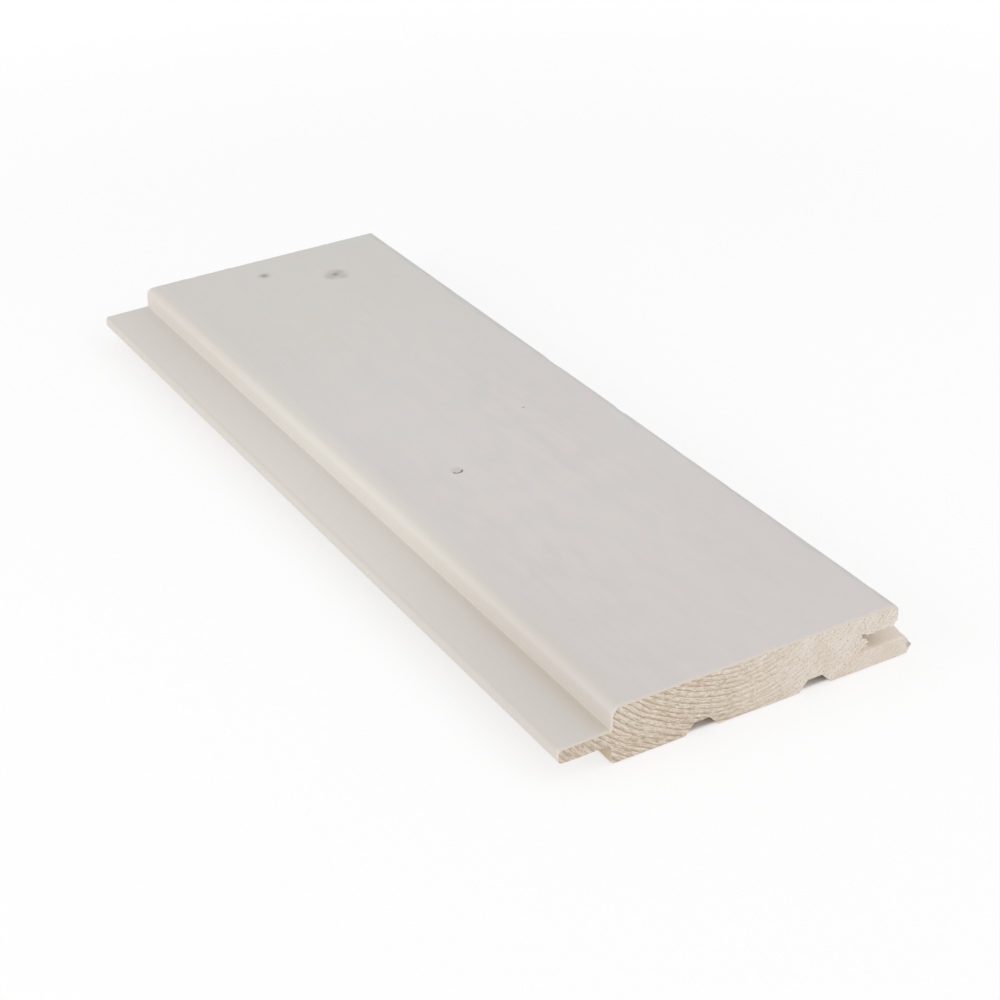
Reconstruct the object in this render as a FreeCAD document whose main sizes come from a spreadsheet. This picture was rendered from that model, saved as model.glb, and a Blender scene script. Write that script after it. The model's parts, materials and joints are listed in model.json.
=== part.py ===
"""Tongue and groove board with a shadow gap, as one length of profiled softwood.

Row frame: +X along the length, +Y across the width from the tongue to the
groove, +Z up through the thickness. The origin is at the middle of the length
and of the overall width, on the plane of the back, and the face looks up.
"""
import FreeCAD
import Part
import Sketcher
import math
import os
from collections import namedtuple

NODE = "board"

# Driving sizes in millimetres, except for the count.
SIZES = [
    ("board_length", 335.0, "cut length"),
    ("overall_width", 120.0, "tongue tip to lower lip"),
    ("thickness", 18.0, "back to face"),
    ("tongue_length", 17.5, "upper shoulder to tongue tip"),
    ("tongue_thickness", 4.5, "tongue, top to underside"),
    ("tongue_drop", 0.45, "tongue's middle below the middle of the thickness"),
    ("shoulder_step", 0.6, "lower shoulder past the upper shoulder"),
    ("joint_clearance", 0.5, "groove over tongue, on each side"),
    ("tip_clearance", 0.5, "groove bottom past the tongue tip"),
    ("shadow_gap", 5.0, "lower lip past the upper lip"),
    ("shoulder_arris", 2.8, "radius of the face at the shoulder"),
    ("lip_arris", 1.5, "radius of the face at the upper lip"),
    ("back_arris", 0.8, "radius of the back at both edges"),
    ("tip_radius", 1.5, "tongue tip"),
    ("root_radius", 0.8, "tongue into the shoulders"),
    ("groove_radius", 1.0, "groove bottom"),
    ("mouth_chamfer", 1.8, "lead-in under the upper lip of the groove"),
    ("lip_chamfer", 0.8, "eased edge on top of the lower lip"),
    ("relief_count", 2, "relief channels along the back"),
    ("relief_spacing", 39.0, "channel to channel"),
    ("relief_mouth", 11.0, "channel width at the back"),
    ("relief_crown", 5.0, "channel width at its deepest"),
    ("relief_depth", 3.5, "channel depth"),
]

# Places across the width are counted from the tongue tip, and heights from the
# back. The groove takes its size and place from the tongue and the clearances.
UPPER_SHOULDER = "Sizes.tongue_length"
LOWER_SHOULDER = "(Sizes.tongue_length - Sizes.shoulder_step)"
LOWER_LIP = "Sizes.overall_width"
UPPER_LIP = "(Sizes.overall_width - Sizes.shadow_gap)"
GROOVE_BOTTOM = "(Sizes.overall_width - Sizes.tongue_length - Sizes.tip_clearance)"
FACE_MIDDLE = f"({UPPER_SHOULDER} + {UPPER_LIP}) / 2"

FACE = "Sizes.thickness"
TONGUE_MIDDLE = "(Sizes.thickness / 2 - Sizes.tongue_drop)"
TONGUE_TOP = f"({TONGUE_MIDDLE} + Sizes.tongue_thickness / 2)"
TONGUE_UNDERSIDE = f"({TONGUE_MIDDLE} - Sizes.tongue_thickness / 2)"
GROOVE_ROOF = f"({TONGUE_TOP} + Sizes.joint_clearance)"
GROOVE_FLOOR = f"({TONGUE_UNDERSIDE} - Sizes.joint_clearance)"

# Heights of the walls whose edges are worked.
TONGUE = "Sizes.tongue_thickness"
SHOULDER_WALL = f"{FACE} - {TONGUE_TOP}"
UPPER_LIP_WALL = f"{FACE} - {GROOVE_ROOF}"
GROOVE_WALL = f"{GROOVE_ROOF} - {GROOVE_FLOOR}"

# An edge is worked at its own size, or at most at this share of the wall that
# carries it, so that two edges of one wall never meet.
EDGE_SHARE = 0.45


def edge(size, wall):
    """Formula of a worked edge's size, limited by its wall."""
    return f"min(Sizes.{size}; {EDGE_SHARE} * ({wall}))"


FLAT = "flat"
UPRIGHT = "upright"
ROUND = "round"
CHAMFER = "chamfer"

# The section anticlockwise from the back. Each straight run has the way it
# lies, its place, and the corner that joins it to the next run.
Run = namedtuple("Run", "name lie place corner size")
SECTION = [
    Run("back", FLAT, "0", ROUND, edge("back_arris", GROOVE_FLOOR)),
    Run("lower_lip", UPRIGHT, LOWER_LIP, CHAMFER, edge("lip_chamfer", GROOVE_FLOOR)),
    Run("groove_floor", FLAT, GROOVE_FLOOR, ROUND, edge("groove_radius", GROOVE_WALL)),
    Run("groove_bottom", UPRIGHT, GROOVE_BOTTOM, ROUND, edge("groove_radius", GROOVE_WALL)),
    Run("groove_roof", FLAT, GROOVE_ROOF, CHAMFER, edge("mouth_chamfer", UPPER_LIP_WALL)),
    Run("upper_lip", UPRIGHT, UPPER_LIP, ROUND, edge("lip_arris", UPPER_LIP_WALL)),
    Run("face", FLAT, FACE, ROUND, edge("shoulder_arris", SHOULDER_WALL)),
    Run("upper_shoulder", UPRIGHT, UPPER_SHOULDER, ROUND, edge("root_radius", SHOULDER_WALL)),
    Run("tongue_top", FLAT, TONGUE_TOP, ROUND, edge("tip_radius", TONGUE)),
    Run("tongue_tip", UPRIGHT, "0", ROUND, edge("tip_radius", TONGUE)),
    Run("tongue_underside", FLAT, TONGUE_UNDERSIDE, ROUND, edge("root_radius", TONGUE_UNDERSIDE)),
    Run("lower_shoulder", UPRIGHT, LOWER_SHOULDER, ROUND, edge("back_arris", TONGUE_UNDERSIDE)),
]

# How a sketch refers to its origin, its axes and the ends of a line.
ORIGIN = (-1, 1)
AXES = {FLAT: -1, UPRIGHT: -2}
START = 1
END = 2


def make_sheet(doc):
    """Put the driving sizes into a sheet, each under its own alias."""
    sheet = doc.addObject("Spreadsheet::Sheet", "Sizes")
    for row, (alias, value, meaning) in enumerate(SIZES, start=1):
        sheet.set(f"A{row}", meaning)
        sheet.set(f"B{row}", str(value))
        sheet.setAlias(f"B{row}", alias)
    doc.recompute()


def start_sketch(body, name):
    """Start a sketch across the board, with its origin under the tongue tip."""
    sketch = body.newObject("Sketcher::SketchObject", name)
    plane = next(item for item in body.Origin.OriginFeatures if item.Role == "YZ_Plane")
    sketch.AttachmentSupport = [(plane, "")]
    sketch.MapMode = "FlatFace"
    sketch.setExpression("AttachmentOffset.Base.x", "-Sizes.overall_width / 2")
    return sketch


def dimension(sketch, name, kind, references, formula):
    """Add a named dimension to a sketch and bind it to the sheet."""
    value = sketch.evalExpression(formula)
    index = sketch.addConstraint(Sketcher.Constraint(kind, *references, value))
    sketch.renameConstraint(index, name)
    sketch.setExpression(f"Constraints.{name}", formula)


def fix_run(sketch, line, run):
    """Hold a straight run level or upright, at its place in the section."""
    level = run.lie == FLAT
    sketch.addConstraint(Sketcher.Constraint("Horizontal" if level else "Vertical", line))
    if run.place == "0":
        sketch.addConstraint(Sketcher.Constraint("PointOnObject", line, START, AXES[run.lie]))
    else:
        kind = "DistanceY" if level else "DistanceX"
        dimension(sketch, f"{run.name}_place", kind, (*ORIGIN, line, START), run.place)


def add_round(sketch, line, following, run, arrives, leaves, corner):
    """Join a run to the following one with an arc that is tangent to both."""
    radius = sketch.evalExpression(run.size)
    first = corner - arrives * radius
    last = corner + leaves * radius
    centre = first + leaves * radius
    outward = arrives.cross(leaves).z > 0
    begin, finish = (first, last) if outward else (last, first)
    begin_angle = math.atan2(begin.y - centre.y, begin.x - centre.x)
    finish_angle = math.atan2(finish.y - centre.y, finish.x - centre.x)
    circle = Part.Circle(centre, FreeCAD.Vector(0, 0, 1), radius)
    arc = sketch.addGeometry(Part.ArcOfCircle(circle, begin_angle, finish_angle))
    near, far = (START, END) if outward else (END, START)
    sketch.addConstraint(Sketcher.Constraint("Tangent", line, END, arc, near))
    sketch.addConstraint(Sketcher.Constraint("Tangent", arc, far, following, START))
    dimension(sketch, f"{run.name}_radius", "Radius", (arc,), run.size)


def add_chamfer(sketch, line, following, run, arrives, leaves, corner):
    """Join a run to the following one with a chamfer of 45 degrees."""
    size = sketch.evalExpression(run.size)
    first = corner - arrives * size
    last = corner + leaves * size
    slope = sketch.addGeometry(Part.LineSegment(first, last))
    sketch.addConstraint(Sketcher.Constraint("Coincident", line, END, slope, START))
    sketch.addConstraint(Sketcher.Constraint("Coincident", slope, END, following, START))
    left, right = (START, END) if first.x < last.x else (END, START)
    low, high = (START, END) if first.y < last.y else (END, START)
    dimension(sketch, f"{run.name}_across", "DistanceX", (slope, left, slope, right), run.size)
    dimension(sketch, f"{run.name}_up", "DistanceY", (slope, low, slope, high), run.size)


def draw_section(body):
    """Draw the board's whole section as straight runs joined by worked corners."""
    sketch = start_sketch(body, "Section")
    following_runs = SECTION[1:] + SECTION[:1]

    corners = []
    for run, following in zip(SECTION, following_runs):
        flat, upright = (run, following) if run.lie == FLAT else (following, run)
        across = sketch.evalExpression(upright.place)
        up = sketch.evalExpression(flat.place)
        corners.append(FreeCAD.Vector(across, up, 0))

    directions = []
    lines = []
    for index, run in enumerate(SECTION):
        direction = (corners[index] - corners[index - 1]).normalize()
        start = corners[index - 1] + direction * sketch.evalExpression(SECTION[index - 1].size)
        end = corners[index] - direction * sketch.evalExpression(run.size)
        directions.append(direction)
        lines.append(sketch.addGeometry(Part.LineSegment(start, end)))

    for line, run in zip(lines, SECTION):
        fix_run(sketch, line, run)
    for index, run in enumerate(SECTION):
        after = (index + 1) % len(SECTION)
        join = add_round if run.corner == ROUND else add_chamfer
        join(sketch, lines[index], lines[after], run, directions[index], directions[after], corners[index])
    return sketch


def draw_relief(body):
    """Draw the first relief channel: a level crown between two equal flanks."""
    sketch = start_sketch(body, "ReliefSection")
    first_middle = f"({FACE_MIDDLE} - Sizes.relief_spacing * (Sizes.relief_count - 1) / 2)"
    mouth_place = f"{first_middle} - Sizes.relief_mouth / 2"

    left = sketch.evalExpression(mouth_place)
    mouth = sketch.evalExpression("Sizes.relief_mouth")
    crown = sketch.evalExpression("Sizes.relief_crown")
    depth = sketch.evalExpression("Sizes.relief_depth")
    flank = (mouth - crown) / 2
    points = [
        FreeCAD.Vector(left, 0, 0),
        FreeCAD.Vector(left + mouth, 0, 0),
        FreeCAD.Vector(left + mouth - flank, depth, 0),
        FreeCAD.Vector(left + flank, depth, 0),
    ]
    lines = [
        sketch.addGeometry(Part.LineSegment(point, following))
        for point, following in zip(points, points[1:] + points[:1])
    ]
    for line, following in zip(lines, lines[1:] + lines[:1]):
        sketch.addConstraint(Sketcher.Constraint("Coincident", line, END, following, START))

    mouth_line, right_flank, crown_line, left_flank = lines
    sketch.addConstraint(Sketcher.Constraint("Horizontal", mouth_line))
    sketch.addConstraint(Sketcher.Constraint("Horizontal", crown_line))
    sketch.addConstraint(Sketcher.Constraint("Equal", right_flank, left_flank))
    sketch.addConstraint(Sketcher.Constraint("PointOnObject", mouth_line, START, AXES[FLAT]))
    dimension(sketch, "place", "DistanceX", (*ORIGIN, mouth_line, START), mouth_place)
    dimension(sketch, "mouth", "DistanceX", (mouth_line, START, mouth_line, END), "Sizes.relief_mouth")
    dimension(sketch, "crown", "DistanceX", (crown_line, END, crown_line, START), "Sizes.relief_crown")
    dimension(sketch, "depth", "DistanceY", (mouth_line, END, crown_line, START), "Sizes.relief_depth")
    return sketch


def make_board(doc):
    """Run the section along the length, then plough the relief channels."""
    body = doc.addObject("PartDesign::Body", "Board")
    body.Label = NODE

    section = draw_section(body)
    stock = body.newObject("PartDesign::Pad", "Stock")
    stock.Profile = section
    stock.SideType = "Symmetric"
    stock.setExpression("Length", "Sizes.board_length")
    doc.recompute()

    relief = draw_relief(body)
    channel = body.newObject("PartDesign::Pocket", "ReliefChannel")
    channel.Profile = relief
    channel.SideType = "Symmetric"
    channel.Type = "ThroughAll"
    doc.recompute()

    channels = body.newObject("PartDesign::LinearPattern", "ReliefChannels")
    channels.Originals = [channel]
    channels.Direction = (relief, ["H_Axis"])
    channels.Mode = "Spacing"
    channels.setExpression("Offset", "Sizes.relief_spacing")
    channels.setExpression("Occurrences", "Sizes.relief_count")
    body.Tip = channels
    doc.recompute()
    return body


def check_document(doc):
    """Stop if a feature failed or left no sound shape."""
    for item in doc.Objects:
        if "Invalid" in item.State or "Error" in item.State:
            raise RuntimeError(f"{item.Name} did not recompute")
        if item.isDerivedFrom("Part::Feature") and (item.Shape.isNull() or not item.Shape.isValid()):
            raise RuntimeError(f"{item.Name} has no sound shape")


def check_board(doc, body):
    """Stop unless the board is one solid and every channel was cut from it."""
    if len(body.Shape.Solids) != 1:
        raise RuntimeError("the board is not one solid")
    sheet = doc.getObject("Sizes")
    channel_area = (sheet.relief_mouth + sheet.relief_crown) / 2 * sheet.relief_depth
    expected = channel_area * sheet.board_length * sheet.relief_count
    removed = doc.getObject("Stock").Shape.Volume - body.Shape.Volume
    if not math.isclose(removed, expected, rel_tol=0.001):
        raise RuntimeError("the relief channels were not cut as drawn")


def main():
    doc = FreeCAD.newDocument("TongueAndGrooveBoard")
    make_sheet(doc)
    body = make_board(doc)
    check_document(doc)
    check_board(doc, body)
    os.makedirs("parts", exist_ok=True)
    body.Shape.exportStep(os.path.join("parts", f"{body.Label}.step"))


main()
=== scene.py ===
"""The looks of a tongue and groove board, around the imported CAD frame.

One dressed mesh stands for the CAD solid. Its section is read from the CAD node itself, its edges are eased,
its knots, ring crack and wear are pressed in, and its ends are sawn. The wood is one solid pattern of growth
rings, so that the lines on the ends, the back and the face belong together. Lengths here are in millimetres
unless they say otherwise, and become metres where the mesh is made. The near end is the one at +X.
"""

import json
import math
from collections import namedtuple

import bpy
import numpy as np
from mathutils import Matrix, Vector
from mathutils.geometry import delaunay_2d_cdt


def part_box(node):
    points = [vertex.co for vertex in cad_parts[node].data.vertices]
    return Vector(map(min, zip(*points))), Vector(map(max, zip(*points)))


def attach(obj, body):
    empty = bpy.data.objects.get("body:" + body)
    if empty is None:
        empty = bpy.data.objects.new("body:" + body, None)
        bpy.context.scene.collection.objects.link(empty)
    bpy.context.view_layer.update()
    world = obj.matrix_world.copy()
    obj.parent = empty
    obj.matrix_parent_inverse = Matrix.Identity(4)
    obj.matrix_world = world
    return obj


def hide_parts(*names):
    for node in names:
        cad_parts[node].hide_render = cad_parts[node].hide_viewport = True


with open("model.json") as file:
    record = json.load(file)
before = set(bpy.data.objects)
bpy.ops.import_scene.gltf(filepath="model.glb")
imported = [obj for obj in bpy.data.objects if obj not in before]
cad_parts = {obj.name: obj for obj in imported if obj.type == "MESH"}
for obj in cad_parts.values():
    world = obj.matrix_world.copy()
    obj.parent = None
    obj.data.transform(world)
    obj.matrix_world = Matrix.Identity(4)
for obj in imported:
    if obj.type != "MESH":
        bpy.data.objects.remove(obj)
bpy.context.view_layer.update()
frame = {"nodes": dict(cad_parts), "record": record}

MM = 0.001
SEED = 7

# What the CAD frame says, and how far the lower lip stands past the upper one
LOW, HIGH = [np.array(corner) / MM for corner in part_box("board")]
HALF = HIGH[0]
FACE = HIGH[2]
RECORD = frame["record"]
OPENINGS = {o["name"]: np.array(o["box_m"]) / MM for o in RECORD["physics"]["openings"]}
GROOVE_LOW, GROOVE_HIGH = OPENINGS["groove"]
BACK_START = OPENINGS["rebate_under_tongue"][1][1]
ROOT = OPENINGS["rebate_over_tongue"][1][1]
TONGUE_MIDDLE = next(m for m in RECORD["mounts"] if m["name"] == "tongue")["pos_m"][2] / MM
SHADOW_GAP = 5.0
LIP_END = HIGH[1] - SHADOW_GAP

# How fine the mesh is round the section and along the board. The easing of the corners is counted in outline
# steps, and its tail in easings. A point of the CAD node this close to the end's plane lies on the end
ON_END = 0.01
OUTLINE_STEP = 0.2
EASE = 1.6
EASE_TAIL = 4
TURN_LIMIT = math.radians(10)
FACE_STEP = 1.5
BACK_STEP = 5.0
TORN_STEP = 0.6
STATION_STEP = 2.5
END_STEP = 0.4
END_REACH = 1.2
SHARP = math.radians(38)

# What counts as the face: how far under it a point may be, and how level it has to be
FACE_SKIN = 1.0
LEVEL_FROM = 0.9
LEVEL_SPAN = 0.1

# The points on the sawn ends: how far they stay from the rim, where their rows lie within each ring, how far
# apart they are along a row, how far they stray, how finely and how often the rows are worked out, and how
# the triangles between them are made
CAP_MARGIN = 0.25
ROW_SHARES = (0.06, 0.4, 0.7, 0.94)
ROW_STEP = 0.45
ROW_JITTER = 0.1
LADDER_STEPS = 6000
STRAY_ROUNDS = 3
ONLY_INSIDE = 1
SAME_POINT = 1e-6

# Marks on the face: where they are and how large
Knot = namedtuple("Knot", "x y core halo dish")
KNOTS = [
    Knot(-138.5, 24.1, 1.3, 5.8, 0.15),
    Knot(-152.8, 0.5, 1.25, 3.5, 0.12),
    Knot(-0.8, 27.7, 0.45, 0.6, 0.1),
]
Stain = namedtuple("Stain", "x y reach")
STAINS = [Stain(-137.2, 21.4, 3.4), Stain(-134.8, 25.8, 2.8), Stain(-139.8, 26.2, 2.6)]
Crack = namedtuple("Crack", "x y radius half_angle width depth halo")
CRACK = Crack(25.7, -12.65, 1.7, math.radians(72), 0.3, 0.55, 3.1)
CRACK_FADE = 0.3
CRACK_DISH = 0.1

# Dents and tears along the arris on the groove side: how far in from its two sides their middle lies, the
# dents one by one, and the tears as waves of several lengths, of which only the tops past a level are torn
ARRIS_IN = 0.4
Dent = namedtuple("Dent", "x length reach depth")
DENTS = [Dent(18.5, 3.0, 1.0, 0.22), Dent(-24.5, 4.0, 1.0, 0.2)]
TEAR_DEPTH = 0.25
TEAR_LENGTHS = (61.0, 37.0, 23.0, 14.0, 9.5)
TEAR_FROM = 0.25

# The tip of the lower lip, worn to a blunt point at the near end: the height of the point, how fast the wear
# grows over and under it, how far past the lip the point would be if it were sharp, how blunt it is, how
# far the wear runs along the board and up the lip, and how far in from the tip the mesh is fine
WORN_POINT = 2.7
WORN_OVER = 0.55
WORN_UNDER = 0.5
WORN_PAST = 0.2
WORN_BLUNT = 0.25
WORN_RUN = 5.0
WORN_TOP = GROOVE_LOW[2] + 0.5
TIP_REACH = 2.5

# The splinter left on that point: how far it stands out, half its height, and how far in it starts
SPLINTER = 0.6
SPLINTER_HALF = 0.7
SPLINTER_FROM = 1.0

# Places where the mesh is finer, with the step that it has there
Fine = namedtuple("Fine", "x y reach step")
FINE_PAST = 1.5
FINE = [Fine(k.x, k.y, reach=k.halo, step=0.7) for k in KNOTS]
FINE += [Fine(CRACK.x, CRACK.y, reach=3.0, step=0.3)]
FINE += [Fine(d.x, None, reach=FINE_PAST * d.length, step=0.6) for d in DENTS]
FINE += [Fine(HALF, None, reach=FINE_PAST * WORN_RUN, step=0.7)]

# The growth rings: the heart of the log runs above the board and leans a little from it. The width of the
# rings swings along the radius, each wave bends them, and late wood rises as a power of the way through a
# ring. The board lies within the reach and the spread of the log given last
HEART_Y = 0.6
HEART_Z = 57.0
LEAN_Y = 0.012
LEAN_Z = -0.02
RING = 1.72
SWING = 0.16
SWING_RATE = 0.586
Wave = namedtuple("Wave", "height along across up start")
WAVES = [
    Wave(0.30, 0.021, 0.075, 0.06, 0.4),
    Wave(0.16, 0.047, -0.15, 0.11, 2.1),
    Wave(0.07, -0.083, 0.41, -0.27, 4.0),
]
LATE_POWER = 3.0
LOG_REACH = (35.0, 95.0)
LOG_SPREAD = math.radians(56)

# The sawn ends, rough on the tongue side and smooth on the other, and the easing of their edges
SMOOTH_FROM = 25.0
ROUGH_FROM = -20.0
LEAST_ROUGH = 0.3
RING_RELIEF = 0.07
SAW_RELIEF = 0.008
END_EASE = 0.16
LEAST_EASE = 0.2

# The torn edges inside the groove at both ends: how deep, how far along the board, and where on its wall and
# its roof. Fibres stand out of the middle of its bottom wall
GROOVE_FRAY = 1.5
FRAY_RUN = 1.2
FRAY_HALF = 3.2
FRAY_WALL = 1.5
FRAY_ROOF = 5.0
ROOF_FROM = 2.0
FIBRE_LENGTH = 2.8
FIBRE_BAND = 1.8

# Where the white coat stops: short of the groove's bottom wall, above its roof, and round the tongue's tip.
# The last line numbers the three materials
BARE_SHORT = 1.0
BARE_ABOVE = 2.0
TIP_WRAP = 1.2
COATED, BARE, SAWN = range(3)

# The light all round, how much of the floor's white shows in its shadows, where the floor turns plain white,
# and how far in from the board's edges its white is left off. The floor's half side is in metres
WHITE = (1, 1, 1, 1)
WORLD_LIGHT = 0.72
FLOOR_COLOUR = (0.98, 0.98, 0.98, 1)
FLOOR_HALF_SIDE_M = 12.0
FLOOR_WHITE = 0.72
FLOOR_PLAIN = (260.0, 600.0)
FLOOR_GAP = 0.3
UNDER_EDGE = (0.8, 2.6)

# The soft boxes, in metres and watts
Lamp = namedtuple("Lamp", "name place size watts")
LAMPS = [
    Lamp("left_box", (-0.1, -0.95, 0.3), 0.8, 4.2),
    Lamp("right_box", (0.6, 0.6, 0.75), 0.8, 2.1),
    Lamp("front_box", (1.5, 0.15, 0.45), 1.0, 2.4),
]

# The camera, solved from the straight edges in the photograph, with its places in metres
CAMERA_AT = Vector((0.59869, -0.30904, 0.36992))
CAMERA_TARGET = Vector((0.036497, -0.003110, 0.009))
CAMERA_ROLL = math.radians(-2.4234)
CAMERA_LENS_MM = 81.716
SENSOR_MM = 36.0


def section_loop(node):
    """The CAD section as an ordered loop of (y, z), read from the node's near end."""
    mesh = node.data
    places = [tuple(round(c / MM, 4) for c in v.co) for v in mesh.vertices]
    forward = {}
    for polygon in mesh.polygons:
        corners = [places[i] for i in polygon.vertices]
        if all(abs(c[0] - HALF) < ON_END for c in corners):
            ring = [c[1:] for c in corners]
            for start, end in zip(ring, ring[1:] + ring[:1]):
                if (end, start) in forward:
                    del forward[(end, start)]
                else:
                    forward[(start, end)] = True
    follows = dict(forward.keys())
    loop = [min(follows)]
    while follows[loop[-1]] != loop[0]:
        loop.append(follows[loop[-1]])
    return np.array(loop)


def evenly(loop, step):
    """The closed loop as points one step apart."""
    closed = np.vstack([loop, loop[:1]])
    run = np.concatenate([[0], np.cumsum(np.hypot(*np.diff(closed, axis=0).T))])
    count = int(round(run[-1] / step))
    at = np.linspace(0, run[-1], count, endpoint=False)
    return np.column_stack([np.interp(at, run, closed[:, i]) for i in range(2)])


def eased(points, reach):
    """The loop with its corners eased, as a plane and fine paper leave them."""
    width = int(EASE_TAIL * reach)
    shifts = np.arange(-width, width + 1)
    weights = np.exp(-0.5 * (shifts / reach) ** 2)
    weights /= weights.sum()
    return sum(w * np.roll(points, s, axis=0) for w, s in zip(weights, shifts))


def spacing(value, axis, plain):
    """The step of the mesh at a place along X or across Y: finer at the marks."""
    steps = [plain]
    for zone in FINE:
        middle = getattr(zone, axis)
        if middle is not None and abs(value - middle) < zone.reach + zone.step:
            steps.append(zone.step)
    return min(steps)


def is_torn(y, z):
    """Whether a point of the section lies on the groove's bottom wall or on the inner part of its roof."""
    reach = np.where(z > TONGUE_MIDDLE + ROOF_FROM, FRAY_ROOF, FRAY_WALL)
    at_wall = (y > GROOVE_LOW[1] - FRAY_WALL) & (y < GROOVE_LOW[1] + reach)
    return (abs(z - TONGUE_MIDDLE) < FRAY_HALF) & at_wall


def outline_step(y, z):
    """How far apart the points of the section may be: close where it is worn, torn or marked."""
    if y > HIGH[1] - TIP_REACH or is_torn(y, z):
        return TORN_STEP
    return spacing(y, "y", FACE_STEP) if z > FACE - FACE_SKIN else BACK_STEP


def thinned(points):
    """The points that the mesh keeps: close together round corners and at marks, wide apart on flats."""
    ahead = np.roll(points, -1, axis=0) - points
    heading = np.unwrap(np.arctan2(ahead[:, 1], ahead[:, 0]))
    kept = [0]
    for i, (y, z) in enumerate(points):
        turned = abs(heading[i] - heading[kept[-1]])
        gone = (i - kept[-1]) * OUTLINE_STEP
        if turned > TURN_LIMIT or gone > outline_step(y, z):
            kept.append(i)
    return points[kept]


def outward(points):
    """The outward direction at each point of the loop."""
    along = np.roll(points, -1, axis=0) - np.roll(points, 1, axis=0)
    along /= np.linalg.norm(along, axis=1)[:, None]
    return np.column_stack([along[:, 1], -along[:, 0]])


def stations():
    """Places along the length where the section is repeated."""
    found = [-HALF]
    while found[-1] < HALF:
        here = found[-1]
        step = min(spacing(here, "x", STATION_STEP), spacing(here + STATION_STEP, "x", STATION_STEP))
        if HALF - abs(here) < END_REACH or HALF - (here + step) < END_REACH:
            step = END_STEP
        found.append(here + step)
    found[-1] = HALF
    return np.array(found)


def heart(x):
    """Where the heart of the log is over a place along the board: its y and z."""
    return HEART_Y + LEAN_Y * (x - HALF), HEART_Z + LEAN_Z * (x - HALF)


def waves(x, y, z):
    """How far the rings stray from true circles."""
    return sum(w.height * np.sin(w.along * x + w.across * y + w.up * z + w.start) for w in WAVES)


def ring_count(radius):
    """How many rings lie within a radius: their width swings a little."""
    return radius / RING + SWING * np.sin(radius * SWING_RATE)


def late_wood(x, y, z):
    """0 in the soft early wood and 1 at the hard late edge of each ring."""
    middle_y, middle_z = heart(x)
    radius = np.hypot(y - middle_y, z - middle_z) + waves(x, y, z)
    return np.mod(ring_count(radius), 1.0) ** LATE_POWER


def ring_points(x, rng):
    """Points on the section at x, in rows that follow the growth rings."""
    ladder = np.linspace(*LOG_REACH, LADDER_STEPS)
    counts = ring_count(ladder)
    whole = np.arange(math.ceil(counts[0]), math.floor(counts[-1]))
    rows = np.add.outer(whole, ROW_SHARES).ravel()
    turns = np.arange(-LOG_SPREAD, LOG_SPREAD, ROW_STEP / np.mean(LOG_REACH))
    radius, turn = np.meshgrid(np.interp(rows, counts, ladder), turns)
    turn = turn + rng.uniform(-ROW_JITTER, ROW_JITTER, turn.shape) / radius
    middle_y, middle_z = heart(x)
    strayed = radius
    for _ in range(STRAY_ROUNDS):
        y = middle_y + strayed * np.sin(turn)
        z = middle_z - strayed * np.cos(turn)
        strayed = radius - waves(x, y, z)
    return np.column_stack([y.ravel(), z.ravel()])


def face_dents(x, y):
    """How deep the knots and the ring crack are pressed into the face."""
    depth = np.zeros(np.broadcast(x, y).shape)
    for knot in KNOTS:
        depth += knot.dish * np.exp(-((x - knot.x) ** 2 + (y - knot.y) ** 2) / knot.core ** 2)
    off = np.hypot(x - CRACK.x, y - CRACK.y)
    turn = np.abs(np.arctan2(y - CRACK.y, x - CRACK.x))
    ends = np.clip((CRACK.half_angle - turn) / (CRACK_FADE * CRACK.half_angle), 0, 1)
    depth += CRACK.depth * ends * np.exp(-((off - CRACK.radius) / CRACK.width) ** 2)
    depth += CRACK_DISH * np.exp(-(off / CRACK.radius) ** 4)
    return depth


def arris_wear(x, y, z, rng):
    """How deep the groove-side arris is dented, and torn here and there along the length."""
    swell = sum(np.sin(2 * math.pi * (x / length + rng.random())) for length in TEAR_LENGTHS)
    torn = np.clip(swell / len(TEAR_LENGTHS) - TEAR_FROM, 0, None)
    off = (y - LIP_END + ARRIS_IN) ** 2 + (z - FACE + ARRIS_IN) ** 2
    depth = TEAR_DEPTH * torn * np.exp(-off)
    for dent in DENTS:
        depth = depth + dent.depth * np.exp(-((x - dent.x) / dent.length) ** 4 - off / dent.reach ** 2)
    return depth


def lip_wear(x, y, z):
    """How far the tip of the lower lip is worn back at the near end, less its splinter."""
    slope = np.where(z > WORN_POINT, WORN_OVER, WORN_UNDER)
    past = y - (HIGH[1] + WORN_PAST - slope * np.abs(z - WORN_POINT))
    near = np.exp(-((HALF - x) / WORN_RUN) ** 4)
    at_tip = y > HIGH[1] - SPLINTER_FROM
    splinter = SPLINTER * np.exp(-((z - WORN_POINT) / SPLINTER_HALF) ** 2) * at_tip
    return near * (z < WORN_TOP) * (0.5 * (past + np.hypot(past, WORN_BLUNT)) - splinter)


def end_relief(x, y, z, rng):
    """How far the sawn end lies inside its plane: soft wood is torn deeper than the hard ring edges."""
    rough = np.clip((SMOOTH_FROM - y) / (SMOOTH_FROM - ROUGH_FROM), LEAST_ROUGH, 1)
    return RING_RELIEF * rough * (1 - late_wood(x, y, z)) + SAW_RELIEF * rng.random(np.shape(y))


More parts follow.
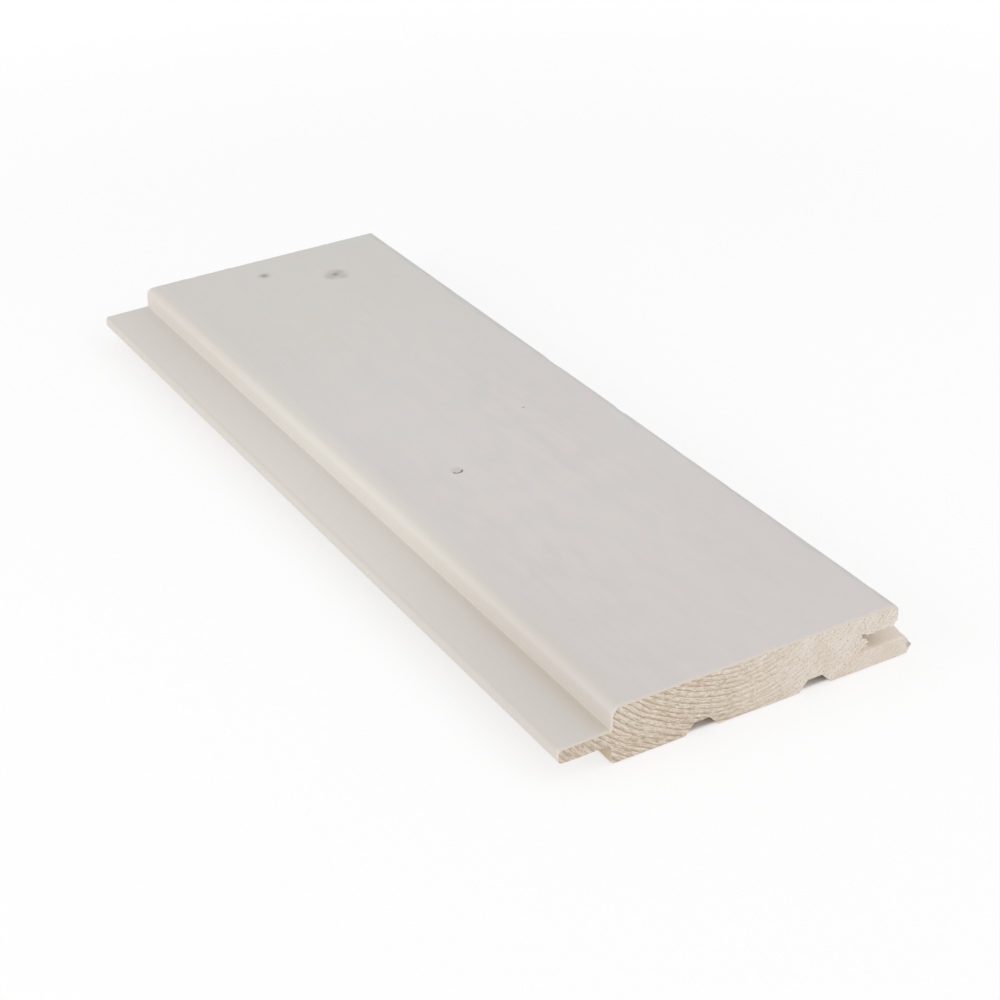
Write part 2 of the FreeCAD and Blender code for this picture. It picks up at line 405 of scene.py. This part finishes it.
def wall_points(xs, outline, rng):
    """The long walls of the board as a grid of points, one section after another."""
    away = outward(outline)
    x = xs[:, None]
    y, z = outline.T
    on_face = np.clip((away[:, 1] - LEVEL_FROM) / LEVEL_SPAN, 0, 1) * (z > FACE - FACE_SKIN)
    depth = face_dents(x, y) * on_face + arris_wear(x, y, z, rng)
    ragged = rng.random((2, len(y)))[(xs > 0).astype(int)]
    at_end = np.clip(1 - (HALF - np.abs(x)) / END_STEP, 0, 1)
    depth = depth + END_EASE * at_end * (LEAST_EASE + (1 - LEAST_EASE) * ragged)
    torn = np.clip(1 - (HALF - np.abs(x)) / FRAY_RUN, 0, 1)
    depth = depth + GROOVE_FRAY * torn * is_torn(y, z) * ragged ** 2
    at_bottom = (np.abs(z - TONGUE_MIDDLE) < FIBRE_BAND) & (np.abs(y - GROOVE_LOW[1]) < FRAY_WALL)
    fibres = FIBRE_LENGTH * torn * at_bottom * (1 - ragged)
    points = np.empty((len(xs), len(y), 3))
    points[:, :, 0] = x
    points[:, :, 1] = y - depth * away[:, 0] - lip_wear(x, y, z) + fibres
    points[:, :, 2] = z - depth * away[:, 1]
    for i in (0, -1):
        points[i, :, 0] -= np.sign(xs[i]) * end_relief(xs[i], y, z, rng)
    return points


def wall_faces(rows, columns):
    """The four-sided faces between each section and the next."""
    faces = []
    for start in range(0, (rows - 1) * columns, columns):
        for j in range(columns):
            k = (j + 1) % columns
            faces.append((start + j, start + k, start + columns + k, start + columns + j))
    return faces


def inside(points, outline, margin):
    """Which points lie inside the outline and further than the margin from it."""
    start = outline[None]
    run = np.roll(outline, -1, axis=0)[None] - start
    off = points[:, None] - start
    share = np.clip((off * run).sum(2) / (run ** 2).sum(2), 0, 1)
    gap = np.linalg.norm(off - share[..., None] * run, axis=2).min(1)
    spans = (off[..., 1] < 0) != (off[..., 1] - run[..., 1] < 0)
    rise = np.where(run[..., 1] == 0, 1, run[..., 1])
    crosses = spans & (off[..., 0] < off[..., 1] / rise * run[..., 0])
    return (crosses.sum(1) % 2 == 1) & (gap > margin)


def cap_grid(x, outline, rng):
    """Points inside the section at x and the triangles that join them to its outline."""
    grid = ring_points(x, rng)
    grid = grid[inside(grid, outline, CAP_MARGIN)]
    every = [Vector(p) for p in np.vstack([outline, grid])]
    rim = list(range(len(outline)))
    _, _, triangles, origins, _, _ = delaunay_2d_cdt(every, [], [rim], ONLY_INSIDE, SAME_POINT)
    return grid, [[origins[corner][0] for corner in triangle] for triangle in triangles]


def is_coated(y, z):
    """The white coat covers the face side, wraps the tongue's tip, and stays out of the groove."""
    in_groove = y > GROOVE_LOW[1] - BARE_SHORT and z < GROOVE_HIGH[2] + BARE_ABOVE
    at_tip = y < LOW[1] + TIP_WRAP
    return at_tip or z > TONGUE_MIDDLE and not in_groove


def make_board(materials):
    """The dressed board: walls and two sawn ends in one closed mesh."""
    rng = np.random.default_rng(SEED)
    outline = thinned(eased(evenly(section_loop(frame["nodes"]["board"]), OUTLINE_STEP), EASE))
    xs = stations()
    walls = wall_points(xs, outline, rng)
    rows, columns = walls.shape[:2]
    points = [walls.reshape(-1, 3)]
    faces = wall_faces(rows, columns)
    middles = 0.5 * (outline + np.roll(outline, -1, axis=0))
    slots = [COATED if is_coated(y, z) else BARE for y, z in middles] * (rows - 1)
    for row, side in ((0, -1), (rows - 1, 1)):
        x = side * HALF
        grid, triangles = cap_grid(x, walls[row, :, 1:], rng)
        base = sum(len(p) for p in points) - columns
        inner = side * (HALF - end_relief(x, grid[:, 0], grid[:, 1], rng))
        points.append(np.column_stack([inner, grid]))
        for triangle in triangles:
            corners = [row * columns + c if c < columns else base + c for c in triangle]
            faces.append(corners[::side])
            slots.append(SAWN)
    mesh = bpy.data.meshes.new("board_dressed")
    mesh.from_pydata((np.vstack(points) * MM).tolist(), [], faces)
    mesh.polygons.foreach_set("material_index", slots)
    mesh.polygons.foreach_set("use_smooth", [True] * len(faces))
    mesh.set_sharp_from_angle(angle=SHARP)
    mesh.update()
    for material in materials:
        mesh.materials.append(material)
    board = bpy.data.objects.new("board_dressed", mesh)
    bpy.context.scene.collection.objects.link(board)
    return board


def srgb(red, green, blue):
    """A colour as it is seen on screen, 0 to 255, as the linear colour that a shader takes."""
    def linear(level):
        level /= 255
        return level / 12.92 if level <= 0.04045 else ((level + 0.055) / 1.055) ** 2.4
    return (linear(red), linear(green), linear(blue), 1.0)


class Nodes:
    """Shader nodes written as formulas."""

    def __init__(self, name):
        self.material = bpy.data.materials.new(name)
        self.material.use_nodes = True
        self.tree = self.material.node_tree
        self.tree.nodes.clear()

    def add(self, kind, **settings):
        node = self.tree.nodes.new(kind)
        for name, value in settings.items():
            setattr(node, name, value)
        return node

    def feed(self, socket, value):
        """Links a socket to another one, or sets its plain value."""
        if isinstance(value, bpy.types.NodeSocket):
            self.tree.links.new(value, socket)
        else:
            socket.default_value = value

    def math(self, operation, *values):
        node = self.add("ShaderNodeMath", operation=operation)
        for socket, value in zip(node.inputs, values):
            self.feed(socket, value)
        return node.outputs[0]

    def sum(self, *values):
        total = values[0]
        for value in values[1:]:
            total = self.math("ADD", total, value)
        return total

    def times(self, *values):
        product = values[0]
        for value in values[1:]:
            product = self.math("MULTIPLY", product, value)
        return product

    def apart(self, value, middle):
        """How far a value is from a middle, on either side."""
        return self.math("ABSOLUTE", self.math("SUBTRACT", value, middle))

    def step(self, value, low, high):
        """0 at low, 1 at high, smooth between."""
        node = self.add("ShaderNodeMapRange", interpolation_type="SMOOTHSTEP")
        for name, setting in (("Value", value), ("From Min", low), ("From Max", high)):
            self.feed(node.inputs[name], setting)
        return node.outputs["Result"]

    def between(self, value, low, high):
        """low where the value is 0, high where it is 1."""
        node = self.add("ShaderNodeMapRange")
        for name, setting in (("Value", value), ("To Min", low), ("To Max", high)):
            self.feed(node.inputs[name], setting)
        return node.outputs["Result"]

    def blend(self, share, first, second):
        """The first colour where the share is 0, the second where it is 1."""
        node = self.add("ShaderNodeMix", data_type="RGBA")
        for index, setting in ((0, share), (6, first), (7, second)):
            self.feed(node.inputs[index], setting)
        return node.outputs[2]

    def tint(self, colour, mark, strength, paint):
        """The colour with a mark laid over it in a paint, at a strength."""
        return self.blend(self.times(mark, strength), colour, paint)

    def place(self):
        """The point on the object in millimetres, as a vector."""
        node = self.add("ShaderNodeVectorMath", operation="SCALE")
        self.feed(node.inputs[0], self.add("ShaderNodeTexCoord").outputs["Object"])
        node.inputs["Scale"].default_value = 1 / MM
        return node.outputs[0]

    def parts(self, vector):
        node = self.add("ShaderNodeSeparateXYZ")
        self.feed(node.inputs[0], vector)
        return node.outputs[0], node.outputs[1], node.outputs[2]

    def join(self, *values):
        node = self.add("ShaderNodeCombineXYZ")
        for socket, value in zip(node.inputs, values):
            self.feed(socket, value)
        return node.outputs[0]

    def stretch(self, vector, *factors):
        """The vector times a factor in each direction: under 1 draws a pattern out."""
        node = self.add("ShaderNodeVectorMath", operation="MULTIPLY")
        self.feed(node.inputs[0], vector)
        node.inputs[1].default_value = factors
        return node.outputs[0]

    def noise(self, vector, scale, detail=2.0):
        node = self.add("ShaderNodeTexNoise")
        self.feed(node.inputs["Vector"], vector)
        node.inputs["Scale"].default_value = scale
        node.inputs["Detail"].default_value = detail
        return node.outputs["Fac"]

    def finish(self, colour, roughness, height, bump_mm, specular):
        """The shader itself, with its bump."""
        shader = self.add("ShaderNodeBsdfPrincipled")
        self.feed(shader.inputs["Base Color"], colour)
        self.feed(shader.inputs["Roughness"], roughness)
        shader.inputs["Specular IOR Level"].default_value = specular
        bump = self.add("ShaderNodeBump")
        bump.inputs["Distance"].default_value = bump_mm * MM
        self.feed(bump.inputs["Height"], height)
        self.feed(shader.inputs["Normal"], bump.outputs["Normal"])
        output = self.add("ShaderNodeOutputMaterial")
        self.feed(output.inputs["Surface"], shader.outputs["BSDF"])
        return self.material


Rings = namedtuple("Rings", "radius late tone strand")


def ring_nodes(nodes, place, fray):
    """The same rings as late_wood, as nodes, with their edges frayed: the radius, late wood 0 to 1, an even
    random tone for each ring, and the place as a vector of radius, way round the ring and way along."""
    x, y, z = nodes.parts(place)
    across = nodes.math("SUBTRACT", y, nodes.math("MULTIPLY_ADD", x, LEAN_Y, HEART_Y - LEAN_Y * HALF))
    below = nodes.math("SUBTRACT", nodes.math("MULTIPLY_ADD", x, LEAN_Z, HEART_Z - LEAN_Z * HALF), z)
    radius = nodes.math("SQRT", nodes.sum(nodes.times(across, across), nodes.times(below, below)))
    for wave in WAVES:
        angle = nodes.math("MULTIPLY_ADD", x, wave.along, wave.start)
        angle = nodes.math("MULTIPLY_ADD", y, wave.across, angle)
        angle = nodes.math("MULTIPLY_ADD", z, wave.up, angle)
        radius = nodes.math("MULTIPLY_ADD", nodes.math("SINE", angle), wave.height, radius)
    swing = nodes.math("SINE", nodes.times(radius, SWING_RATE))
    count = nodes.math("MULTIPLY_ADD", swing, SWING, nodes.times(radius, 1 / RING))
    edges = nodes.noise(nodes.stretch(place, 0.1, 1, 1), scale=0.9, detail=3.0)
    count = nodes.math("MULTIPLY_ADD", edges, fray, count)
    late = nodes.math("POWER", nodes.math("FRACT", count), LATE_POWER)
    tone = nodes.add("ShaderNodeTexWhiteNoise", noise_dimensions="1D")
    nodes.feed(tone.inputs["W"], nodes.math("FLOOR", count))
    around = nodes.times(nodes.math("ARCTAN2", across, below), float(np.mean(LOG_REACH)))
    return Rings(radius, late, tone.outputs["Value"], nodes.join(radius, around, x))


def away_from(nodes, here, middle):
    """How far a point is from a middle, both given in two directions."""
    offs = [nodes.math("SUBTRACT", h, m) for h, m in zip(here, middle)]
    return nodes.math("SQRT", nodes.sum(*[nodes.times(off, off) for off in offs]))


def spot(nodes, place, x, y, inner, outer):
    """1 within the inner radius of a place on the face, falling to 0 at the outer one, with a ragged edge."""
    off = away_from(nodes, nodes.parts(place)[:2], (x, y))
    ragged = nodes.math("MULTIPLY_ADD", nodes.noise(place, scale=0.6), 0.5 * inner, off)
    return nodes.step(ragged, outer, inner)


def crescent(nodes, place):
    """1 in the arc of the ring crack, on the side of the near end, which is painted dark for its dirt and as
    painted shade of its depth.
    """
    x, y, _ = nodes.parts(place)
    off = away_from(nodes, (x, y), (CRACK.x, CRACK.y))
    beside = nodes.apart(off, CRACK.radius)
    facing = nodes.math("DIVIDE", nodes.math("SUBTRACT", x, CRACK.x), off)
    return nodes.times(nodes.step(beside, 0.5, 0.12), nodes.step(facing, 0.2, 0.5))


def from_ends(nodes, x):
    """How far a place is in from the nearer end of the board."""
    return nodes.math("SUBTRACT", HALF, nodes.math("ABSOLUTE", x))


# Where the coat changes, each from its start to its full strength: along the board to its two ends and to the
# middle of its length, where the painted highlight is palest, and across it to the middle of the face, to the
# shoulder side and over the tongue, to the tongue's root and its height, where painted shade lies in the
# crease, and to the tongue's tip, which is darkened with painted shade
NEAR_PART = (40.0, 150.0)
FAR_PART = (20.0, -150.0)
MID_LENGTH = (130.0, 10.0)
MID_FACE_Y = 2.0
MID_FACE = (42.0, 14.0)
SHOULDER_SIDE = (-33.0, -41.0)
OVER_TONGUE = (11.0, 13.0)
ROOT_SIDE = (ROOT - 7.0, ROOT)
ROOT_HEIGHT = (12.5, 11.2)
TIP_SIDE = (LOW[1] + 2.0, LOW[1] + 0.6)

# The coat's colours: plain, clouded and in patches, at both ends, where the coat thins with a painted
# highlight that is palest mid-length and painted shade at the near end, painted shade at the tongue's root
# and its tip, and its marks, among them a darker grey along the groove-side edge
COAT_PLAIN = srgb(211, 208, 205)
COAT_CLOUDED = srgb(209, 204, 202)
COAT_PATCH = srgb(215, 208, 205)
COAT_FAR = srgb(208, 206, 200)
COAT_NEAR = srgb(206, 198, 197)
THIN_AND_LIT = srgb(213, 207, 199)
THIN_PAINTED_HIGHLIGHT = srgb(218, 213, 205)
THIN_PAINTED_SHADE_NEAR = srgb(208, 202, 195)
ROOT_PAINTED_SHADE = srgb(206, 195, 177)
TIP_PAINTED_SHADE = srgb(202, 196, 188)
FIGURE_TINT = srgb(196, 187, 180)
FIBRE_TINT = srgb(198, 190, 184)
EDGE_DARK_GREY = srgb(172, 171, 167)
EDGE_GREEN_GREY = srgb(174, 177, 171)
STAIN_TINT = srgb(160, 156, 151)
KNOT_HALO = srgb(163, 156, 152)
KNOT_CORE = srgb(108, 103, 99)
CRACK_HALO = srgb(172, 168, 163)
CRACK_DARK_AND_SHADE = srgb(84, 78, 74)
COAT_FRAYED = srgb(220, 210, 197)


def white_coat():
    """A satin white coat laid on thinly: grain shows faintly through it, it thins towards the shoulder, where
    a painted highlight also lies, and painted shade darkens the tongue's root crease and its tip.
    """
    nodes = Nodes("white_coat")
    place = nodes.place()
    x, y, z = nodes.parts(place)
    late = ring_nodes(nodes, place, 0.3).late
    fibre = nodes.noise(nodes.stretch(place, 0.03, 1, 1), scale=1.6, detail=3.0)
    cloud = nodes.noise(nodes.stretch(place, 0.25, 1, 1), scale=0.035, detail=2.0)
    mottle = nodes.noise(nodes.stretch(place, 0.4, 1, 1), scale=0.17, detail=1.5)
    clouded = nodes.step(cloud, 0.3, 0.7)
    near = nodes.step(x, *NEAR_PART)
    far = nodes.step(x, *FAR_PART)
    middle = nodes.step(nodes.apart(y, MID_FACE_Y), *MID_FACE)
    patches = nodes.times(nodes.step(mottle, 0.33, 0.7), nodes.between(middle, 0.3, 1.0))
    colour = nodes.blend(clouded, COAT_PLAIN, COAT_CLOUDED)
    colour = nodes.blend(patches, colour, COAT_PATCH)
    colour = nodes.tint(colour, far, 0.6, COAT_FAR)
    colour = nodes.tint(colour, near, 0.4, COAT_NEAR)

    # The coat thins and warms towards the shoulder, and a painted highlight lies there too: palest
    # mid-length, with painted shade at the near end
    thin_and_lit = nodes.step(y, *SHOULDER_SIDE)
    thin_and_lit = nodes.times(thin_and_lit, nodes.between(nodes.step(z, *OVER_TONGUE), 0.7, 1.0))
    lit_middle = nodes.step(nodes.math("ABSOLUTE", x), *MID_LENGTH)
    thin_lit_colour = nodes.blend(lit_middle, THIN_AND_LIT, THIN_PAINTED_HIGHLIGHT)
    colour = nodes.blend(thin_and_lit, colour, nodes.blend(near, thin_lit_colour, THIN_PAINTED_SHADE_NEAR))
    # Painted shade in the crease at the tongue's root, strongest at the near end
    root = nodes.times(nodes.step(y, *ROOT_SIDE), nodes.step(z, *ROOT_HEIGHT))
    root = nodes.times(root, nodes.between(near, 0.03, 0.5))
    colour = nodes.blend(root, colour, ROOT_PAINTED_SHADE)
    # Painted shade on the tongue's tip
    colour = nodes.tint(colour, nodes.step(y, *TIP_SIDE), 0.7, TIP_PAINTED_SHADE)
    colour = nodes.tint(colour, nodes.times(late, clouded), 0.07, FIGURE_TINT)

    patchy = nodes.noise(nodes.stretch(place, 0.1, 0.6, 0.6), scale=1.0, detail=3.0)
    # Darker grey along the groove-side edge and the end of the upper lip, in two ragged bands
    darker_edge = nodes.step(nodes.math("MULTIPLY_ADD", patchy, 3.2, y), LIP_END + 0.3, LIP_END + 1.3)
    greyer_edge = nodes.step(nodes.math("MULTIPLY_ADD", patchy, 7.0, y), LIP_END + 0.4, LIP_END + 2.4)
    colour = nodes.tint(colour, darker_edge, 0.3, EDGE_DARK_GREY)
    colour = nodes.tint(colour, greyer_edge, 0.22, EDGE_GREEN_GREY)
    colour = nodes.tint(colour, nodes.step(fibre, 0.55, 0.8), 0.07, FIBRE_TINT)

    for stain in STAINS:
        mark = spot(nodes, place, stain.x, stain.y, 0.3 * stain.reach, stain.reach)
        colour = nodes.tint(colour, mark, 0.3, STAIN_TINT)
    for knot in KNOTS:
        halo = spot(nodes, place, knot.x, knot.y, 0.25 * knot.halo, 1.15 * knot.halo)
        core = spot(nodes, place, knot.x, knot.y, 0.2 * knot.core, 1.5 * knot.core)
        colour = nodes.tint(colour, halo, 0.5, KNOT_HALO)
        colour = nodes.tint(colour, core, 0.6, KNOT_CORE)
    halo = spot(nodes, place, CRACK.x, CRACK.y, 0.6 * CRACK.radius, CRACK.halo)
    colour = nodes.tint(colour, halo, 0.35, CRACK_HALO)
    # The crack's dark arc: dirt in it together with painted shade of its depth
    colour = nodes.tint(colour, crescent(nodes, place), 0.85, CRACK_DARK_AND_SHADE)

    fray = nodes.between(nodes.step(x, -1.0, 1.0), -0.3, -2.6)
    ragged = nodes.noise(place, scale=0.8, detail=3.0)
    frayed = nodes.math("MULTIPLY_ADD", ragged, fray, from_ends(nodes, x))
    colour = nodes.tint(colour, nodes.step(frayed, 0.3, -0.7), 0.8, COAT_FRAYED)
    roughness = nodes.between(fibre, 0.42, 0.56)
    height = nodes.sum(nodes.times(late, 0.3), fibre)
    return nodes.finish(colour, roughness, height, bump_mm=0.02, specular=0.4)


# Raw wood: its colours, where it is paler in the groove, and where the torn part of the groove is, lifted by
# painted light the deeper it lies
WOOD_PALE = srgb(224, 210, 191)
WOOD_CLOUDED = srgb(214, 197, 174)
WOOD_LATE = srgb(198, 172, 138)
WOOD_FIBRE = srgb(204, 184, 157)
WOOD_GROOVE_PALE = srgb(236, 227, 217)
WOOD_TORN_AND_LIT = srgb(251, 243, 229)
GROOVE_PALE_SIDE = (GROOVE_LOW[1] - 2, GROOVE_LOW[1] + 2)
GROOVE_PALE_HEIGHT = (0.3, 2.0)
DEEP_SIDE = (GROOVE_LOW[1] + 6.0, GROOVE_LOW[1] + 1.0)


def planed_wood():
    """Raw planed softwood, seen along the grain, paler in the groove and torn at the groove's ends, where
    painted light lightens the torn wood more the deeper it lies.
    """
    nodes = Nodes("planed_wood")
    place = nodes.place()
    x, y, z = nodes.parts(place)
    _, late, tone, _ = ring_nodes(nodes, place, 0.2)
    fibre = nodes.noise(nodes.stretch(place, 0.03, 1, 1), scale=2.2, detail=4.0)
    cloud = nodes.noise(nodes.stretch(place, 0.2, 1, 1), scale=0.05, detail=2.0)
    colour = nodes.blend(cloud, WOOD_PALE, WOOD_CLOUDED)
    colour = nodes.blend(nodes.times(late, nodes.between(tone, 0.15, 0.45)), colour, WOOD_LATE)
    colour = nodes.tint(colour, nodes.step(fibre, 0.5, 0.75), 0.3, WOOD_FIBRE)
    # Paler wood in the groove and on the lower lip
    groove_pale = nodes.times(nodes.step(y, *GROOVE_PALE_SIDE), nodes.step(z, *GROOVE_PALE_HEIGHT))
    colour = nodes.tint(colour, groove_pale, 0.85, WOOD_GROOVE_PALE)
    deep = nodes.step(y, *DEEP_SIDE)
    ragged = nodes.times(nodes.noise(place, scale=0.9, detail=3.0), nodes.between(deep, -2.4, -7.0))
    torn = nodes.times(nodes.step(nodes.sum(ragged, from_ends(nodes, x)), 0.4, -0.4), groove_pale)
    # Torn fibres are pale, and painted light lightens them more the deeper in the groove they lie
    colour = nodes.tint(colour, torn, nodes.between(deep, 0.35, 0.85), WOOD_TORN_AND_LIT)
    roughness = nodes.between(late, 0.72, 0.58)
    height = nodes.sum(late, fibre)
    return nodes.finish(colour, roughness, height, bump_mm=0.05, specular=0.3)


# The sawn end's colours, on its smooth and rough sides, at the tongue, and in its marks
END_SMOOTH = srgb(229, 219, 209)
END_ROUGH = srgb(226, 213, 196)
END_TONGUE = srgb(200, 182, 174)
END_TONE = srgb(206, 188, 167)
END_CLOUD = srgb(210, 195, 176)
END_LATE = srgb(136, 111, 84)
END_DARK = srgb(150, 128, 103)
END_BRIGHT = srgb(250, 243, 234)
END_STAIN = srgb(214, 176, 160)
END_BRUISE = srgb(150, 152, 138)

# Where the sawn end changes: darker to the tongue, calmer on the lower lip, a warm stain along one ring, and
# the bruised tip of the lower lip
TONGUE_SIDE = (-34.0, -46.0)
LIP_SIDE = (34.0, 44.0)
LIP_HEIGHT = (9.0, 6.0)
STAIN_RADIUS = 44.2
STAIN_WIDTH = (1.3, 0.3)
STAIN_Y = -17.5
STAIN_LENGTH = (7.5, 3.0)
BRUISE_MIDDLE = (HIGH[1] - 0.3, WORN_POINT + 0.5)
BRUISE_REACH = (1.9, 0.4)


def sawn_end():
    """Sawn end grain: ring after ring, darker towards the tongue side, with fine streaks and a few pores."""
    nodes = Nodes("sawn_end")
    place = nodes.place()
    _, y, z = nodes.parts(place)
    radius, late, tone, strand = ring_nodes(nodes, place, 0.16)
    streaks = nodes.noise(nodes.stretch(strand, 1.0, 0.12, 0.1), scale=3.0, detail=2.0)
    pores = nodes.noise(place, scale=2.5, detail=2.0)
    cloud = nodes.noise(place, scale=0.12, detail=3.0)
    side = nodes.step(y, SMOOTH_FROM, ROUGH_FROM)
    colour = nodes.blend(side, END_SMOOTH, END_ROUGH)
    colour = nodes.tint(colour, nodes.step(y, *TONGUE_SIDE), 0.28, END_TONGUE)
    colour = nodes.tint(colour, tone, nodes.between(side, 0.1, 0.3), END_TONE)
    colour = nodes.tint(colour, nodes.step(cloud, 0.35, 0.7), 0.35, END_CLOUD)
    depth = nodes.times(late, nodes.between(tone, 0.75, 1.0), nodes.between(side, 0.1, 0.72))
    colour = nodes.blend(depth, colour, END_LATE)
    stain = nodes.step(nodes.apart(radius, STAIN_RADIUS), *STAIN_WIDTH)
    stain = nodes.times(stain, nodes.step(nodes.apart(y, STAIN_Y), *STAIN_LENGTH))
    colour = nodes.tint(colour, stain, 0.4, END_STAIN)

    on_lip = nodes.times(nodes.step(y, *LIP_SIDE), nodes.step(z, *LIP_HEIGHT))
    calm = nodes.between(on_lip, 1.0, 0.55)
    dark = nodes.times(nodes.step(streaks, 0.54, 0.7), nodes.between(side, 0.15, 0.6), calm)
    bright = nodes.times(nodes.step(streaks, 0.46, 0.3), nodes.between(side, 0.25, 0.6), calm)
    specks = nodes.times(nodes.step(pores, 0.55, 0.7), nodes.between(side, 0.62, 0.5), calm)
    colour = nodes.blend(dark, colour, END_DARK)
    colour = nodes.blend(bright, colour, END_BRIGHT)
    colour = nodes.blend(specks, colour, END_DARK)
    bruise = nodes.step(away_from(nodes, (y, z), BRUISE_MIDDLE), *BRUISE_REACH)
    colour = nodes.tint(colour, bruise, 0.6, END_BRUISE)
    roughness = nodes.between(late, 0.9, 0.78)
    height = nodes.sum(late, streaks, nodes.times(pores, 0.5))
    return nodes.finish(colour, roughness, height, bump_mm=0.06, specular=0.2)


def light_path_white(tree):
    """1 for the rays that show the background itself: to the camera, in a reflection or through glass."""
    path = tree.nodes.new("ShaderNodeLightPath")
    shown = path.outputs["Is Camera Ray"]
    for name in ("Is Glossy Ray", "Is Transmission Ray"):
        either = tree.nodes.new("ShaderNodeMath")
        either.operation = "MAXIMUM"
        tree.links.new(shown, either.inputs[0])
        tree.links.new(path.outputs[name], either.inputs[1])
        shown = either.outputs[0]
    return shown


def make_floor():
    """A plain white floor that keeps a soft shadow, deepest under the board."""
    mesh = bpy.data.meshes.new("floor")
    side = FLOOR_HALF_SIDE_M
    corners = [(-side, -side), (side, -side), (side, side), (-side, side)]
    mesh.from_pydata([(x, y, -FLOOR_GAP * MM) for x, y in corners], [], [(0, 1, 2, 3)])
    floor = bpy.data.objects.new("floor", mesh)
    bpy.context.scene.collection.objects.link(floor)
    nodes = Nodes("floor_white")
    white = nodes.add("ShaderNodeEmission")
    paper = nodes.add("ShaderNodeBsdfDiffuse")
    paper.inputs["Color"].default_value = FLOOR_COLOUR
    x, y, _ = nodes.parts(nodes.place())
    shown, hidden = UNDER_EDGE
    past_end = nodes.step(nodes.math("ABSOLUTE", x), HALF - hidden, HALF - shown)
    past_tongue = nodes.step(y, BACK_START + hidden, BACK_START + shown)
    past_groove = nodes.step(y, HIGH[1] - hidden, HIGH[1] - shown)
    beside = nodes.math("MAXIMUM", past_end, nodes.math("MAXIMUM", past_tongue, past_groove))
    plain = nodes.step(away_from(nodes, (x, y), (0.0, 0.0)), *FLOOR_PLAIN)
    whiteness = nodes.times(beside, nodes.between(plain, FLOOR_WHITE, 1.0))
    mix = nodes.add("ShaderNodeMixShader")
    nodes.feed(mix.inputs[0], nodes.times(light_path_white(nodes.tree), whiteness))
    nodes.feed(mix.inputs[1], paper.outputs[0])
    nodes.feed(mix.inputs[2], white.outputs[0])
    nodes.feed(nodes.add("ShaderNodeOutputMaterial").inputs["Surface"], mix.outputs[0])
    mesh.materials.append(nodes.material)
    return floor


def make_world():
    """Even light all round, seen as white."""
    world = bpy.data.worlds.new("studio")
    world.use_nodes = True
    bpy.context.scene.world = world
    tree = world.node_tree
    ground = tree.nodes["Background"]
    strength = tree.nodes.new("ShaderNodeMapRange")
    strength.inputs["To Min"].default_value = WORLD_LIGHT
    strength.inputs["To Max"].default_value = 1.0
    tree.links.new(light_path_white(tree), strength.inputs["Value"])
    tree.links.new(strength.outputs["Result"], ground.inputs["Strength"])
    ground.inputs["Color"].default_value = WHITE


def make_lamp(name, place, size, watts):
    """A square soft box that looks at the board."""
    lamp = bpy.data.lights.new(name, "AREA")
    lamp.size = size
    lamp.energy = watts
    holder = bpy.data.objects.new(name, lamp)
    holder.location = place
    holder.rotation_euler = (-Vector(place)).to_track_quat("-Z", "Y").to_euler()
    bpy.context.scene.collection.objects.link(holder)


def make_camera():
    """The photograph's own view."""
    data = bpy.data.cameras.new("photo_view")
    data.sensor_width = SENSOR_MM
    data.lens = CAMERA_LENS_MM
    camera = bpy.data.objects.new("photo_view", data)
    aim = (CAMERA_TARGET - CAMERA_AT).to_track_quat("-Z", "Y").to_matrix()
    turned = aim @ Matrix.Rotation(CAMERA_ROLL, 3, "Z")
    camera.matrix_world = Matrix.Translation(CAMERA_AT) @ turned.to_4x4()
    bpy.context.scene.collection.objects.link(camera)
    bpy.context.scene.camera = camera


bpy.context.scene.view_settings.view_transform = "Standard"
board = make_board([white_coat(), planed_wood(), sawn_end()])
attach(board, "root")
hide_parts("board")
make_floor()
make_world()
for lamp in LAMPS:
    make_lamp(*lamp)
make_camera()
